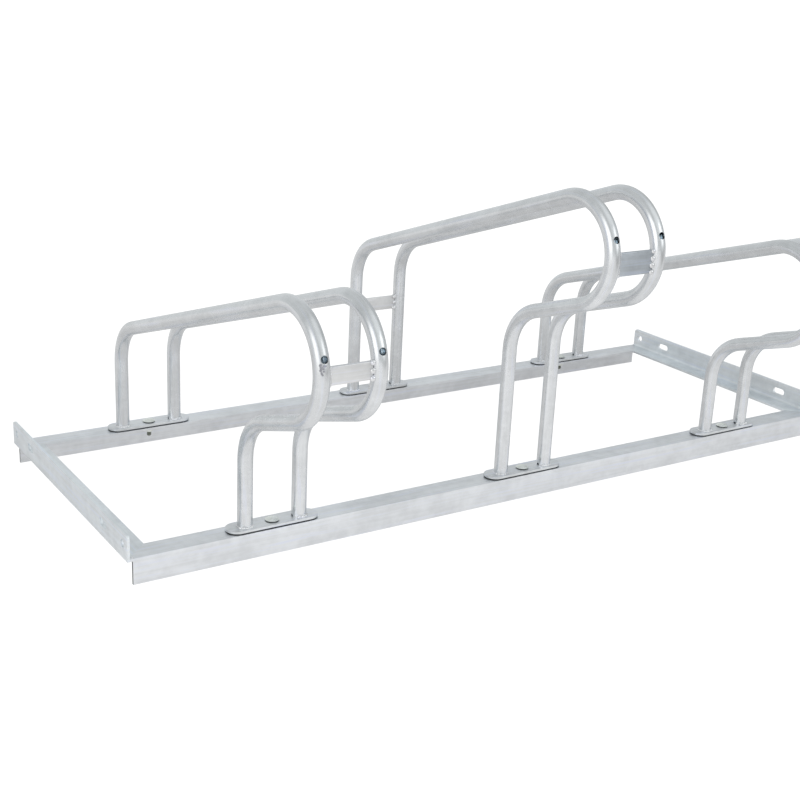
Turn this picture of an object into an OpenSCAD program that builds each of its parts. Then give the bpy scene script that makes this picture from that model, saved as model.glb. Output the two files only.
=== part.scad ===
// Floor bike rack with three places: a frame of steel angle that lies on the
// floor, and three hoops, each of two bent tubes that hold a front wheel
// between them. A wheel rolls in from the back, +Y, up to the bar at the front.
// The middle hoop holds its wheel higher, so that handlebars don't meet.
// Origin: middle of the rack's box at floor level. X runs along the rack,
// the loops overhang the front, -Y, and Z is up. Millimetres.

/* [Frame] */
// Distance between the middles of neighbouring places
pitch = 350; // [300:5:450]
// Depth of the base frame, front to back
frame_d = 385; // [360:5:450]
// Width of each leg of the steel angle
angle_w = 30; // [28:1:40]
// Thickness of the steel angle
angle_t = 3; // [2.5:0.5:4]
// Radius inside the corner of the angle
root_r = 3.5; // [1:0.5:3.5]
// How far the rails' upright legs stop short of the end planes
end_relief = 6; // [4:1:12]
// Radius of the upper corners of the end upstands
corner_r = 5; // [1:0.5:8]

/* [Hoops] */
// Outer diameter of the hoop tube
tube_d = 17.2; // [15:0.1:20]
// Wall of the hoop tube
tube_wall = 2; // [1.2:0.1:3]
// Radius of every bend, at the middle of the tube
bend_r = 60; // [52:1:68]
// Distance between the middles of a pair's rear legs
rear_spread = 72; // [66:1:80]
// Distance between the middles of a pair's front legs
front_spread = 67; // [62:1:76]
// Slope of the low hoops' straight runs, in degrees
low_slope = 18.2; // [14:0.1:22]
// Height of the low hoops' front loop above the floor, at its middle
low_h = 249.5; // [235:0.5:280]
// How far the middle of the low hoops' loop stands in front of the frame
low_reach = 84; // [70:1:100]
// Slope of the high hoop's straight runs, in degrees
high_slope = 18.8; // [14:0.1:22]
// Height of the high hoop's front loop above the floor, at its middle
high_h = 334.5; // [310:0.5:370]
// How far the middle of the high hoop's loop stands in front of the frame
high_reach = 87.5; // [70:0.5:100]
// Diameter of the vent hole at the front of each loop
vent_d = 8; // [4:0.5:10]
// How far round its loop each vent sits above the foremost point, in degrees
vent_turn = 0; // [-5:0.5:10]
// How much further round the loop the high hoop's vents sit, in degrees
high_vent_lift = 2; // [-5:0.5:10]
// Diameter of the half-round drain notch at the foot of each leg
drain_d = 4; // [3:0.5:6]

/* [Flat bars between the tubes] */
// Thickness of the flat bars
bar_t = 4.5; // [3:0.5:6]
// Width of the low hoops' front bar
low_bar_w = 19; // [12:1:24]
// How far the low front bar's middle lies above the middle of the loop
low_bar_rise = 2.5; // [-6:0.5:6]
// Width of the high hoop's front bar
high_bar_w = 26; // [16:1:30]
// How far the high front bar's middle lies above the middle of the loop
high_bar_rise = -4; // [-6:0.5:6]
// Width of the bar between the high hoop's rear legs
leg_bar_w = 19; // [12:1:26]
// Height of that bar's middle above the floor
leg_bar_h = 158.5; // [120:0.5:180]
// Gap that the weld fills at each end of a bar
weld_gap = 0.15; // [0.1:0.05:0.3]

/* [Base plates] */
// Thickness of the base plates
plate_t = 4; // [3:0.5:6]
// How far a base plate runs past the legs that stand on it
plate_margin = 11.4; // [9:0.1:16]
// Distance from a base plate's long edges to the edges of the rail
plate_inset = 1.5; // [0.5:0.5:3]

/* [Bolts] */
// Diameter of the bolts
bolt_d = 6; // [5:1:8]
// Diameter that the holes in the plates and the rails have beyond the bolt's
hole_clearance = 1; // [0.5:0.5:2]
// Diameter of the domed bolt head
head_d = 16.5; // [14:0.5:18]
// Height of the domed bolt head
head_h = 3.9; // [3:0.1:5]
// Height of the straight rim under the dome
head_rim = 0.8; // [0.3:0.1:1.2]
// Diameter of the washers
washer_d = 12; // [12:0.5:17]
// Diameter that the washer's hole has beyond the bolt's
washer_clearance = 0.4; // [0.2:0.1:0.8]
// Thickness of the washers
washer_t = 1.6; // [1:0.1:2]
// Width of the nuts across two flats
nut_w = 10; // [10:0.5:14]
// Height of the nuts
nut_h = 5; // [5:0.5:8]
// Gap between a bolt and its nut, all round
thread_gap = 0.05; // [0.02:0.01:0.1]
// How far a bolt's end stands out below its nut
bolt_end = 6.4; // [2:0.1:7]
// Width of the chamfer at a bolt's end
end_chamfer = 1; // [0.5:0.1:1.5]

/* [Holes in the end angles] */
// Diameter of the joint holes and width of the joint slots
joint_hole_d = 9; // [7:0.5:11]
// Distance from the frame's front or rear face to a round joint hole
joint_hole_inset = 13.5; // [11:0.5:20]
// Distance from the frame's front or rear face to the middle of a joint slot
joint_slot_inset = 69; // [50:1:90]
// Length of the joint slots
joint_slot_l = 21; // [18:1:30]
// Width of the floor anchor slots
anchor_slot_w = 11; // [8:0.5:12]
// Length of the floor anchor slots
anchor_slot_l = 20; // [16:1:40]
// Distance from the end plane to the middle of the anchor slot
anchor_inset = 17.5; // [15:0.5:19]

/* [Hidden] */
$fn = 48;

// Cuts run this far past the faces that they leave
overrun = 1;
// A tube's straights run this far into its bends, which are thicker by the
// seam on their radius, so that both join as one solid
lap = 0.5;
seam = 0.05;

// Places: the middle of each hoop along X, and the length that they make
left_x = -pitch;
middle_x = 0;
right_x = pitch;
hoop_places = [left_x, middle_x, right_x];
frame_l = len(hoop_places) * pitch;

// Legs and bolts stand on the middle line of the rails' upper faces
leg_inset = angle_w / 2;
leg_spacing = frame_d - 2 * leg_inset;
half_taper = (rear_spread - front_spread) / 2;
// Each tube lies in one upright plane, turned by this angle about its front leg
toe = atan(half_taper / leg_spacing);
leg_run = leg_spacing / cos(toe);

// Front to back: the loops overhang the frame, and the box is centred on Y
overhang = max(low_reach, high_reach) + bend_r * cos(toe) + tube_d / 2 + seam;
front_face_y = (overhang - frame_d) / 2;
rear_face_y = front_face_y + frame_d;
front_leg_y = front_face_y + leg_inset;
rear_leg_y = rear_face_y - leg_inset;

// Heights from the floor
flange_z = angle_w - angle_t;
upstand_top = flange_z + angle_w;
joint_hole_z = angle_w + flange_z / 2;
seat_z = angle_w + plate_t;
washer_z = flange_z - washer_t;
nut_z = washer_z - nut_h;
bolt_end_z = nut_z - bolt_end;

// Base plates: the same plate serves the front and the rear legs
plate_l = max(rear_spread, front_spread) + tube_d + 2 * plate_margin;
plate_w = angle_w - 2 * plate_inset;
bolt_hole_d = bolt_d + hole_clearance;

// A hoop's shape: slope of its runs, reach and height of its loop's middle
low_hoop = [low_slope, low_reach, low_h, vent_turn];
high_hoop = [high_slope, high_reach, high_h, vent_turn + high_vent_lift];

// Directions and bend centres in a tube's own plane: first value to the rear
// of the front leg, second value up
function up_way(hoop) = [sin(hoop[0]), cos(hoop[0])];
function back_way(hoop) = [cos(hoop[0]), -sin(hoop[0])];
function vent_way(hoop) = [-cos(hoop[0] + hoop[3]), sin(hoop[0] + hoop[3])];
function loop_middle(hoop) = [-(leg_inset + hoop[1]) / cos(toe), hoop[2]];
function rear_bend_middle(hoop) =
    let (loop = loop_middle(hoop))
    loop + back_way(hoop) * (leg_run - bend_r - loop[0]) / cos(hoop[0]);
function front_bend_middle(hoop) =
    let (loop = loop_middle(hoop), below = loop - 2 * bend_r * up_way(hoop))
    below - back_way(hoop) * (bend_r + below[0]) / cos(hoop[0]);

// Half the distance between a pair's tubes at a given Y
function half_spread(y) = front_spread / 2 + half_taper * (y - front_leg_y) / leg_spacing;

// Shapes

// Flat bar with half-round ends, along X, on the XY plane
module obround(length, width, height) {
    flat = length - width;
    translate([-flat / 2, -width / 2, 0])
        cube([flat, width, height]);
    for (side = [-1, 1])
        translate([side * flat / 2, 0, 0])
            cylinder(d = width, h = height);
}

// Section of the angle, its heel at the origin, its legs along +X and +Y
module angle_section() {
    square([angle_w, angle_t]);
    square([angle_t, angle_w]);
    difference() {
        square(angle_t + root_r);
        translate([angle_t + root_r, angle_t + root_r])
            circle(r = root_r);
    }
}

// Straight rod between two points of a tube's plane, run on past each by a lap
module rod(from, to, d, from_lap, to_lap) {
    way = to - from;
    translate(from)
        rotate([-90, 0, -atan2(way[0], way[1])])
            translate([0, 0, -from_lap])
                cylinder(d = d, h = norm(way) + from_lap + to_lap);
}

// Bent rod about a point of a tube's plane
module bent_rod(middle, start, sweep, d) {
    translate(middle)
        rotate([0, 0, start])
            rotate_extrude(angle = sweep)
                translate([bend_r, 0])
                    circle(d = d + 2 * seam);
}

// The whole route of one hoop tube, from the rear foot over the loop to the
// front foot, as a solid rod whose feet end at foot_z
module hoop_rod(hoop, d, foot_z) {
    up = up_way(hoop);
    loop = loop_middle(hoop);
    rear_bend = rear_bend_middle(hoop);
    front_bend = front_bend_middle(hoop);
    turn = 90 - hoop[0];
    rod([leg_run, foot_z], [leg_run, rear_bend[1]], d, 0, lap);
    bent_rod(rear_bend, 0, turn, d);
    rod(rear_bend + bend_r * up, loop + bend_r * up, d, lap, lap);
    bent_rod(loop, turn, 180, d);
    rod(loop - bend_r * up, front_bend + bend_r * up, d, lap, lap);
    bent_rod(front_bend, 0, turn, d);
    rod([0, foot_z], [0, front_bend[1]], d, 0, lap);
}

// Stands a tube's plane up on its front leg: side is -1 on the left, 1 on the right
module stand_tube(x, side) {
    translate([x + side * front_spread / 2, front_leg_y, 0])
        rotate([0, 0, -side * toe])
            rotate([90, 0, 90])
                children();
}

// Frame

// Outline of a rail seen from above: square where it meets the end upstands,
// then a mitre to the end angles' flanges
module rail_outline() {
    half = frame_l / 2;
    polygon([
        [-half + angle_t, 0], [half - angle_t, 0], [half - angle_t, angle_t],
        [half - angle_w, angle_w], [-half + angle_w, angle_w], [-half + angle_t, angle_t]
    ]);
}

// Rail with its outer face on Y = 0 and its flange toward +Y
module rail() {
    difference() {
        intersection() {
            translate([-frame_l / 2, 0, angle_w])
                rotate([0, 90, 0])
                    linear_extrude(height = frame_l)
                        angle_section();
            linear_extrude(height = angle_w)
                rail_outline();
        }
        for (side = [-1, 1])
            translate([side * (frame_l / 2 - end_relief / 2), angle_w / 2, flange_z / 2 - overrun / 2])
                cube([end_relief, angle_w + 2 * overrun, flange_z + overrun], center = true);
        for (x = hoop_places)
            translate([x, leg_inset, flange_z - overrun])
                cylinder(d = bolt_hole_d, h = angle_t + 2 * overrun);
    }
}

module front_rail() {
    color("#c9ccd0")
        translate([0, front_face_y, 0])
            rail();
}

module rear_rail() {
    color("#b9bdc2")
        translate([0, rear_face_y, 0])
            mirror([0, 1, 0])
                rail();
}

// Outline of an end angle seen from above, its outer face on X = 0
module end_outline() {
    polygon([
        [0, 0], [angle_t, 0], [angle_t, angle_t], [angle_w, angle_w],
        [angle_w, frame_d - angle_w], [angle_t, frame_d - angle_t], [angle_t, frame_d], [0, frame_d]
    ]);
}

// Cuts one upper corner of the upstand round, the corner at the origin
module corner_cut() {
    translate([-overrun, 0, 0])
        rotate([90, 0, 90])
            linear_extrude(height = angle_t + 2 * overrun)
                difference() {
                    translate([-overrun, -corner_r])
                        square(corner_r + overrun);
                    translate([corner_r, -corner_r])
                        circle(r = corner_r);
                }
}

// End angle with its outer face on X = 0 and its flange toward +X
module end_angle() {
    difference() {
        intersection() {
            translate([0, frame_d, flange_z])
                rotate([90, 0, 0])
                    linear_extrude(height = frame_d)
                        angle_section();
            linear_extrude(height = upstand_top)
                end_outline();
        }
        translate([0, 0, upstand_top])
            corner_cut();
        translate([0, frame_d, upstand_top])
            mirror([0, 1, 0])
                corner_cut();
        for (y = [joint_hole_inset, frame_d - joint_hole_inset])
            translate([-overrun, y, joint_hole_z])
                rotate([0, 90, 0])
                    cylinder(d = joint_hole_d, h = angle_t + 2 * overrun);
        for (y = [joint_slot_inset, frame_d - joint_slot_inset])
            translate([-overrun, y, joint_hole_z])
                rotate([90, 0, 90])
                    obround(joint_slot_l, joint_hole_d, angle_t + 2 * overrun);
        translate([anchor_inset, frame_d / 2, flange_z - overrun])
            rotate([0, 0, 90])
                obround(anchor_slot_l, anchor_slot_w, angle_t + 2 * overrun);
    }
}

module left_end_angle() {
    color("#b4b8bd")
        translate([-frame_l / 2, front_face_y, 0])
            end_angle();
}

module right_end_angle() {
    color("#aeb3b8")
        translate([frame_l / 2, front_face_y, 0])
            mirror([1, 0, 0])
                end_angle();
}

// Hoops

// One bent tube of a pair, with its vent and its two drain notches
module hoop_tube(x, side, hoop) {
    loop = loop_middle(hoop);
    color(side < 0 ? "#ccd0d3" : "#c2c6ca")
        stand_tube(x, side)
            difference() {
                hoop_rod(hoop, tube_d, seat_z);
                hoop_rod(hoop, tube_d - 2 * tube_wall, seat_z - overrun);
                rod(loop + bend_r * vent_way(hoop),
                    loop + (bend_r + tube_d / 2) * vent_way(hoop), vent_d, 0, overrun);
                for (leg = [0, leg_run])
                    translate([leg, seat_z, 0])
                        rotate([side > 0 ? 180 : 0, 0, 0])
                            cylinder(d = drain_d, h = tube_d / 2 + overrun);
            }
}

// Upright flat bar between a pair's tubes, its middle at the given Y and Z
module flat_bar(x, y, z, width) {
    length = 2 * half_spread(y) - tube_d - 2 * weld_gap;
    color("#d3d5d8")
        translate([x, y, z])
            cube([length, bar_t, width], center = true);
}

// The bar that closes the front of a pair's loops
module front_bar(x, hoop, width, rise) {
    flat_bar(x, front_face_y - hoop[1] - bend_r, hoop[2] + rise, width);
}

// The bar between the high hoop's rear legs
module leg_bar(x) {
    flat_bar(x, rear_leg_y, leg_bar_h, leg_bar_w);
}

// Base plate under a pair's front or rear legs, with its bolt hole
module base_plate(x, y) {
    color("#bfc3c7")
        translate([x, y, angle_w])
            difference() {
                obround(plate_l, plate_w, plate_t);
                translate([0, 0, -overrun])
                    cylinder(d = bolt_hole_d, h = plate_t + 2 * overrun);
            }
}

// Fasteners

// Repeats a fastener at the middle of every base plate
module at_bolts() {
    for (x = hoop_places, y = [front_leg_y, rear_leg_y])
        translate([x, y, 0])
            children();
}

// Bolt with a plain domed head on the base plate
module bolt() {
    dome_h = head_h - head_rim;
    dome_r = (pow(head_d / 2, 2) + pow(dome_h, 2)) / (2 * dome_h);
    intersection() {
        translate([0, 0, seat_z])
            cylinder(d = head_d, h = head_h);
        translate([0, 0, seat_z + head_h - dome_r])
            sphere(r = dome_r);
    }
    translate([0, 0, bolt_end_z + end_chamfer])
        cylinder(d = bolt_d, h = seat_z - bolt_end_z - end_chamfer);
    translate([0, 0, bolt_end_z])
        cylinder(d1 = bolt_d - 2 * end_chamfer, d2 = bolt_d, h = end_chamfer);
}

module hoop_bolts() {
    color("#a9aeb4")
        at_bolts()
            bolt();
}

module hoop_washers() {
    color("#9fa4aa")
        at_bolts()
            translate([0, 0, washer_z])
                difference() {
                    cylinder(d = washer_d, h = washer_t);
                    translate([0, 0, -overrun])
                        cylinder(d = bolt_d + washer_clearance, h = washer_t + 2 * overrun);
                }
}

module hoop_nuts() {
    color("#a3a8ae")
        at_bolts()
            translate([0, 0, nut_z])
                difference() {
                    cylinder(d = nut_w / cos(30), h = nut_h, $fn = 6);
                    translate([0, 0, -overrun])
                        cylinder(d = bolt_d + 2 * thread_gap, h = nut_h + 2 * overrun);
                }
}

// The rack

front_rail();
rear_rail();
left_end_angle();
right_end_angle();

hoop_tube(left_x, -1, low_hoop);  // left_hoop_left_tube
hoop_tube(left_x, 1, low_hoop);  // left_hoop_right_tube
front_bar(left_x, low_hoop, low_bar_w, low_bar_rise);  // left_hoop_spreader
base_plate(left_x, front_leg_y);  // left_hoop_front_plate
base_plate(left_x, rear_leg_y);  // left_hoop_rear_plate

hoop_tube(middle_x, -1, high_hoop);  // middle_hoop_left_tube
hoop_tube(middle_x, 1, high_hoop);  // middle_hoop_right_tube
front_bar(middle_x, high_hoop, high_bar_w, high_bar_rise);  // middle_hoop_spreader
leg_bar(middle_x);  // middle_hoop_leg_spreader
base_plate(middle_x, front_leg_y);  // middle_hoop_front_plate
base_plate(middle_x, rear_leg_y);  // middle_hoop_rear_plate

hoop_tube(right_x, -1, low_hoop);  // right_hoop_left_tube
hoop_tube(right_x, 1, low_hoop);  // right_hoop_right_tube
front_bar(right_x, low_hoop, low_bar_w, low_bar_rise);  // right_hoop_spreader
base_plate(right_x, front_leg_y);  // right_hoop_front_plate
base_plate(right_x, rear_leg_y);  // right_hoop_rear_plate

hoop_bolts();
hoop_washers();
hoop_nuts();
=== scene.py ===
# %% [markdown]
# # A floor bike rack in satin zinc
# The rack is a flat frame of steel angle with three hoops of bent tube, all of
# it zinc plated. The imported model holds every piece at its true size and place,
# so this lesson starts from it: it sets up the camera and the light, makes the
# finishes, and then models each piece again with the soft edges, welds and
# threads that the plain solids don't have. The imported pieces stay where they
# are and are only hidden, so nothing can drift out of place.

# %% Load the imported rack
import math
import random
import bmesh
import bpy
from mathutils import Matrix, Quaternion, Vector


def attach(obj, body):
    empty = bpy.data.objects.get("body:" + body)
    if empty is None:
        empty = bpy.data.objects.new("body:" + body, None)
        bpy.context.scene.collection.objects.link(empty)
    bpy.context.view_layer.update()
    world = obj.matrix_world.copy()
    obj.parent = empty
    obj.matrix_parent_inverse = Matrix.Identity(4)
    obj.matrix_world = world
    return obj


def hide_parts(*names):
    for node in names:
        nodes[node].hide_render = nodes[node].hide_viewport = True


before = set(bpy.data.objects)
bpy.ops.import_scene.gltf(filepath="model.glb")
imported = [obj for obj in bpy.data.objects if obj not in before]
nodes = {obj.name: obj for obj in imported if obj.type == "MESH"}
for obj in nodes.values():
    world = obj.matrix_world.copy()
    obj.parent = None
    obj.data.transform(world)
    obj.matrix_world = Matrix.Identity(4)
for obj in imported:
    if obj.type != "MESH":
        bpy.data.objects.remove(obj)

MM = 0.001  # one millimetre in metres, Blender's unit
WHITE, BLACK = (1, 1, 1, 1), (0, 0, 0, 1)
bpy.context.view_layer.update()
bpy.ops.object.select_all(action="DESELECT")
print("pieces in the packed rack:", len(nodes))

# %% [markdown]
# ## The camera
# The picture was taken from the rack's front left corner, a little above the
# hoops. Where the eye stood and which way it looked were worked out from the
# long straight edges of the rack. The camera could be turned by three angles,
# but it is easier to read when it looks along a direction and is then rolled by
# the small tilt that the picture has.

# %% Camera
eye = Vector((-0.96832, -1.28303, 0.63628))
ahead = Vector((0.52109, 0.78977, -0.32391))
tilt = math.radians(2.70)
LENS, SENSOR, FAR = 58.81, 36, 200  # millimetres, millimetres, and metres

bpy.ops.object.camera_add(location=eye)
camera = bpy.context.object
camera.name = "camera"
camera.rotation_mode = "QUATERNION"
camera.rotation_quaternion = ahead.to_track_quat("-Z", "Y") @ Quaternion((0, 0, 1), tilt)
camera.data.sensor_width = SENSOR
camera.data.lens = LENS
camera.data.clip_end = FAR
bpy.context.scene.camera = camera
print("camera", [round(v, 3) for v in eye], "lens", round(camera.data.lens, 2))

# %% [markdown]
# ## Shader sums written as Python
# A finish is a recipe of small nodes. Wiring them one by one is long to write
# and hard to read, so a socket is wrapped in a class on which plus, minus and
# times can be written, and each sign adds its node. Every other node comes from
# one method: first its settings, then what its sockets hold or are joined to.

# %% Wires and recipes
class Wire:
    """One socket of a recipe, on which sums can be written."""

    def __init__(self, recipe, socket):
        self.recipe, self.socket = recipe, socket

    def sum_with(self, sign, first, second):
        """Adds a node of arithmetic."""
        return self.recipe.node("ShaderNodeMath", {"operation": sign}, {0: first, 1: second})

    def __add__(self, other):
        return self.sum_with("ADD", self, other)

    def __sub__(self, other):
        return self.sum_with("SUBTRACT", self, other)

    def __rsub__(self, other):
        return self.sum_with("SUBTRACT", other, self)

    def __mul__(self, other):
        return self.sum_with("MULTIPLY", self, other)

    __radd__ = __add__


class Recipe:
    """The nodes of one material, or of the room."""

    def __init__(self, name, owner=None):
        self.material = owner or bpy.data.materials.new(name)
        self.material.use_nodes = True
        self.tree = self.material.node_tree
        self.tree.nodes.clear()

    def node(self, kind, settings, inputs, out=0):
        """Adds a node with its settings and inputs, and returns one of its outputs."""
        made = self.tree.nodes.new(kind)
        for key, value in settings.items():
            setattr(made, key, value)
        for key, value in inputs.items():
            if isinstance(value, Wire):
                self.tree.links.new(value.socket, made.inputs[key])
            else:
                made.inputs[key].default_value = value
        return Wire(self, made.outputs[out]) if made.outputs else None

    def mix(self, share, first, second):
        """A colour between two colours."""
        return self.node("ShaderNodeMix", {"data_type": "RGBA"}, {0: share, 6: first, 7: second}, 2)

    def ramp(self, value, low, high):
        """Turns low..high of a value into 0..1, softly at both ends."""
        settings = {"interpolation_type": "SMOOTHSTEP"}
        return self.node("ShaderNodeMapRange", settings, {0: value, 1: low, 2: high})

    def finish(self, **inputs):
        """Joins what is given to the surface and returns the material."""
        named = {key.replace("_", " "): value for key, value in inputs.items()}
        shader = self.node("ShaderNodeBsdfPrincipled", {}, named)
        self.node("ShaderNodeOutputMaterial", {}, {"Surface": shader})
        return self.material


# %% [markdown]
# ## The studio floor
# The rack lies on a plain pale floor that runs far past the picture, so no
# edge or corner of a room shows. It could be a curved backdrop, but the camera
# looks down and sees only floor. Like a light table it gives light of its own,
# so the picture has no shadow. In the zinc it shows a little greyer than it is
# seen directly, brightest in front and to the left, where the window is.

# %% Floor
FLOOR_SIZE, FLOOR_DROP = 80, 0.2  # metres across, and millimetres below the rack
# How bright the zinc sees the floor, what is added in front and behind, and
# what is taken off towards the right and in the front right corner
FLOOR_GREY, FLOOR_FRONT, FLOOR_BACK, FLOOR_RIGHT, FLOOR_CORNER = 0.60, 0.24, 0.08, 0.14, 0.30

bpy.ops.mesh.primitive_plane_add(size=FLOOR_SIZE, location=(0, 0, -FLOOR_DROP * MM))
floor = bpy.context.object
floor.name = "studio_floor"
paint = Recipe("pale_floor")
spot = paint.node("ShaderNodeTexCoord", {}, {}, "Object")
across = paint.node("ShaderNodeSeparateXYZ", {}, {"Vector": spot}, "X")
deep = paint.node("ShaderNodeSeparateXYZ", {}, {"Vector": spot}, "Y")
seen = paint.node("ShaderNodeLightPath", {}, {}, "Is Camera Ray")
front = paint.ramp(0 - deep, -0.08, 0.24)
back = paint.ramp(deep, 0.5, 1.0)
right = paint.ramp(across, -0.9, 0.9)
corner = paint.ramp(0 - deep, 0.6, 1.2) * paint.ramp(across, 0.1, 0.9)
level = (FLOOR_GREY + front * FLOOR_FRONT + back * FLOOR_BACK - right * FLOOR_RIGHT
         - corner * FLOOR_CORNER)
mirrored = paint.mix(level, BLACK, WHITE)
shown = paint.mix(seen, mirrored, WHITE)
floor.data.materials.append(paint.finish(Base_Color=(0.12, 0.12, 0.12, 1), Roughness=0.7,
                                         Specular_IOR_Level=0.1, Emission_Color=shown,
                                         Emission_Strength=1.0))
print("floor", floor.name)

# %% [markdown]
# ## Soft light
# Zinc shows what stands round it more than its own colour. Every upright face
# of the rack mirrors the floor, and every top face mirrors what is low behind
# it. So the room is a soft grey with a bright window at the left, which draws a
# streak along each loop, paler walls in front and behind, and a darker corner
# at the right. Large lamps would do the same, but a room drawn from directions
# gives no noise and no hard spark. One weak lamp at the front right is all that
# is added. Seen directly the room is as white as the floor, so low views have
# no horizon.

# %% Room and lamp
# The room's own strength, and what its paler and darker parts add and take off
ROOM, LEFT_WINDOW, FRONT_WALL, BACK_WALL, RIGHT_CORNER = 0.63, 0.95, 0.25, 0.12, 0.10
SHOWN = 1.1  # the room's strength where the camera sees it directly
# The way to each of them, and how near to it a direction begins and ends to count
WINDOW_WAY, WINDOW_SPREAD = (-0.90, -0.36, 0.26), (0.84, 0.975)
FRONT_WAY, FRONT_SPREAD = (0.42, -0.60, 0.68), (0.60, 0.95)
BACK_WAY, BACK_SPREAD = (0.15, 0.98, 0.08), (0.60, 0.99)
CORNER_WAY, CORNER_SPREAD = (0.98, 0.15, 0.25), (0.75, 0.98)
LAMP, LAMP_SIZE = 6, 1.8  # watts, and metres
LAMP_PLACE, LAMP_AIM = Vector((1.6, -2.4, 1.5)), Vector((0, 0, 0.15))

bpy.context.scene.view_settings.view_transform = "Standard"
world = bpy.data.worlds.new("studio")
bpy.context.scene.world = world
room = Recipe("studio", world)
way = room.node("ShaderNodeTexCoord", {}, {}, "Generated")


def toward(direction, low, high):
    """How far the room's directions point one way, as 0..1."""
    product = room.node("ShaderNodeVectorMath", {"operation": "DOT_PRODUCT"},
                        {0: way, 1: Vector(direction).normalized()}, "Value")
    return room.ramp(product, low, high)


window = toward(WINDOW_WAY, *WINDOW_SPREAD)
front_wall = toward(FRONT_WAY, *FRONT_SPREAD)
back_wall = toward(BACK_WAY, *BACK_SPREAD)
right_corner = toward(CORNER_WAY, *CORNER_SPREAD)
tint = room.mix(window, (0.965, 1.0, 1.01, 1), WHITE)
power = (ROOM + window * LEFT_WINDOW + front_wall * FRONT_WALL + back_wall * BACK_WALL
         - right_corner * RIGHT_CORNER)
direct = room.node("ShaderNodeLightPath", {}, {}, "Is Camera Ray")
power = power + direct * (SHOWN - power)
glow = room.node("ShaderNodeBackground", {}, {"Color": tint, "Strength": power})
room.node("ShaderNodeOutputWorld", {}, {"Surface": glow})

bpy.ops.object.light_add(type="AREA", location=LAMP_PLACE)
lamp = bpy.context.object
lamp.name = "lamp_right"
lamp.rotation_mode = "QUATERNION"
lamp.rotation_quaternion = (LAMP_AIM - lamp.location).to_track_quat("-Z", "Y")
lamp.data.shape = "RECTANGLE"
lamp.data.size, lamp.data.size_y = LAMP_SIZE, LAMP_SIZE
lamp.data.energy = LAMP
print("room and one lamp of", lamp.data.energy, "W")

# %% [markdown]
# ## Zinc
# The real finish is a thin, satin coat of zinc over rolled steel. It isn't one
# even grey: it is cloudy over a hand's width, mottled over a finger's width, has
# fine lines along the way the steel was rolled, and a grain so fine that it only
# roughens the skin. Along some lines the colour is darker or violet, which is
# partly the rolled lines and partly painted reflection. A painted picture laid
# over each piece would need a seam.
# Layers of noise need none. They read the object's own coordinates, so the
# pattern stays on the steel when the view changes. On the tubes the lines have
# to follow the bends, so there they read where each point would lie if the tube
# were still straight, which is stored on the mesh further down.

# %% Zinc finish
CLOUDS, MOTTLES, FLAKES, GRAINS = 14.0, 75.0, 210.0, 1500.0  # to the metre
# The lines' share of the dulling is partly painted reflection; clouds and mottles are the coat's own
# tone.
WEAR_AND_REFLECTION_SHARES, WEAR_AND_REFLECTION_RANGE = (0.4, 0.3, 0.3), (0.36, 0.62)  # of clouds, mottles and lines
DULLING = 0.16  # how much darker the dull parts are
# A violet tint along some lines: painted reflection.
REFLECTED_VIOLET, REFLECTED_VIOLET_SHARE, REFLECTED_VIOLET_RANGE = (0.90, 0.92, 1.02), 0.6, (0.52, 0.70)  # along some lines
SPARKLE, SPARKLE_SHARE = 1.2, 0.08  # how much lighter a flake is, and how much it counts
GLOSS_SWINGS = (0.12, 0.14, 0.10)  # by clouds, lines and mottles
BUMP_SHARES = (0.35, 0.35, 0.15, 0.15)  # of lines, grain, flakes and mottles
BUMP_STRENGTH, BUMP_HEIGHT = 0.10, 0.4  # the height in millimetres


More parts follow.
